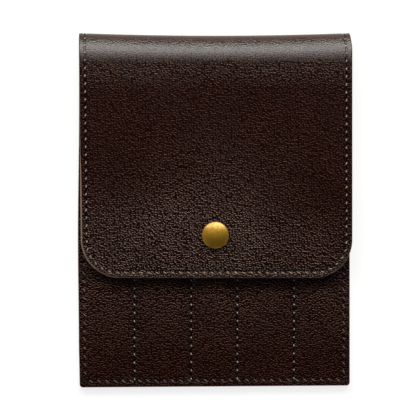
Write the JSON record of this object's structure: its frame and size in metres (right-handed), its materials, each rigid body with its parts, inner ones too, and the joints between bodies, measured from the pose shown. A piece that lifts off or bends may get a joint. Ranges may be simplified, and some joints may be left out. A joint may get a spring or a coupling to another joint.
{
  "type": "needle case",
  "caption": "Flat leather case for knitting needles: a lined back with a stitched pocket of side-by-side channels, and a fold-over flap that shuts with a brass press stud.",
  "frame": {"origin": "middle of the outer face of the back, which the shut case lies on", "axes": "+Z out of the back towards the flap, +Y up the case towards the fold, +X to the right as the flap is faced"},
  "size_m": [0.1247, 0.162, 0.0129],
  "materials": {
    "leather": "dark brown pebble-grain leather, lightly glossed on the crests, with raw cut edges",
    "lining": "thin brown suede with a matt nap",
    "thread": "waxed brown sewing thread, a little lighter than the leather",
    "brass": "polished brass with fine handling marks",
    "spring_steel": "bare spring wire"
  },
  "bodies": {
    "case_body": {"back_panel": "leather", "back_lining": "lining", "front_pocket": "leather", "body_seam_thread": "thread", "back_seam_thread": "thread", "divider_thread_1": "thread", "divider_thread_2": "thread", "divider_thread_3": "thread", "divider_thread_4": "thread", "snap_stud": "brass", "snap_stud_post": "brass"},
    "fold_1": {"fold_leather_1": "leather", "fold_lining_1": "lining", "fold_thread_left_1": "thread", "fold_thread_right_1": "thread"},
    "fold_2": {"fold_leather_2": "leather", "fold_lining_2": "lining", "fold_thread_left_2": "thread", "fold_thread_right_2": "thread"},
    "flap": {"flap_panel": "leather", "flap_lining": "lining", "flap_seam_thread": "thread", "flap_under_thread": "thread", "snap_cap": "brass", "snap_socket": "brass", "snap_spring": "spring_steel"}
  },
  "joints": [
    {"name": "fold_line_1", "type": "hinge", "parent": "case_body", "child": "fold_1", "pos_m": [0, 0.081, 0], "axis": [-1, 0, 0], "range_deg": [0, 90]},
    {"name": "fold_line_2", "type": "hinge", "parent": "fold_1", "child": "fold_2", "pos_m": [0, 0.081, 0.00553], "axis": [-1, 0, 0], "range_deg": [0, 55]},
    {"name": "fold_line_3", "type": "hinge", "parent": "fold_2", "child": "flap", "pos_m": [0, 0.07377, 0.0106], "axis": [-1, 0, 0], "range_deg": [0, 35]}
  ]
}
